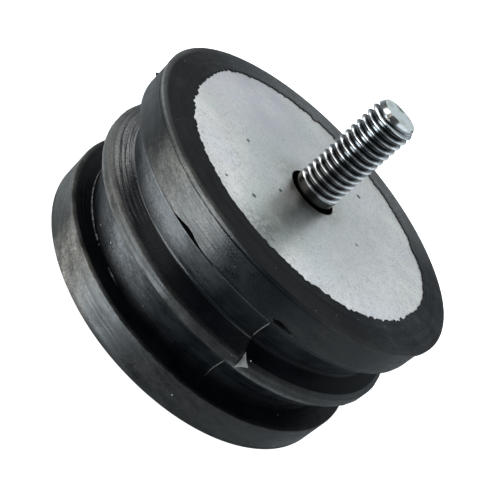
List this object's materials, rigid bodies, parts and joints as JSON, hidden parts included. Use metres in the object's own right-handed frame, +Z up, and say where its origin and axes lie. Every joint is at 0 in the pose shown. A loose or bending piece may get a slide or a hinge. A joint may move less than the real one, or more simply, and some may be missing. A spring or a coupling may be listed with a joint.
{
  "type": "engine mount",
  "caption": "Round rubber engine mount with two saw-tooth grooves, a steel plate bonded into each end, a threaded stud on top and a tapped boss in the base.",
  "frame": {"origin": "centre of the bottom face of the rubber, where the mount stands", "axes": "+Z up the stud; the section is the same all the way round, so X and Y are free"},
  "size_m": [0.1, 0.1, 0.077],
  "materials": {
    "rubber": "moulded, semi-matt, dusty in places",
    "plate": "satin zinc plating with fine pits",
    "stud": "bright zinc plating"
  },
  "bodies": {
    "root": {"rubber_body": "rubber", "top_plate": "plate", "stud": "stud", "base_plate": "plate", "base_boss": "stud"}
  },
  "joints": []
}
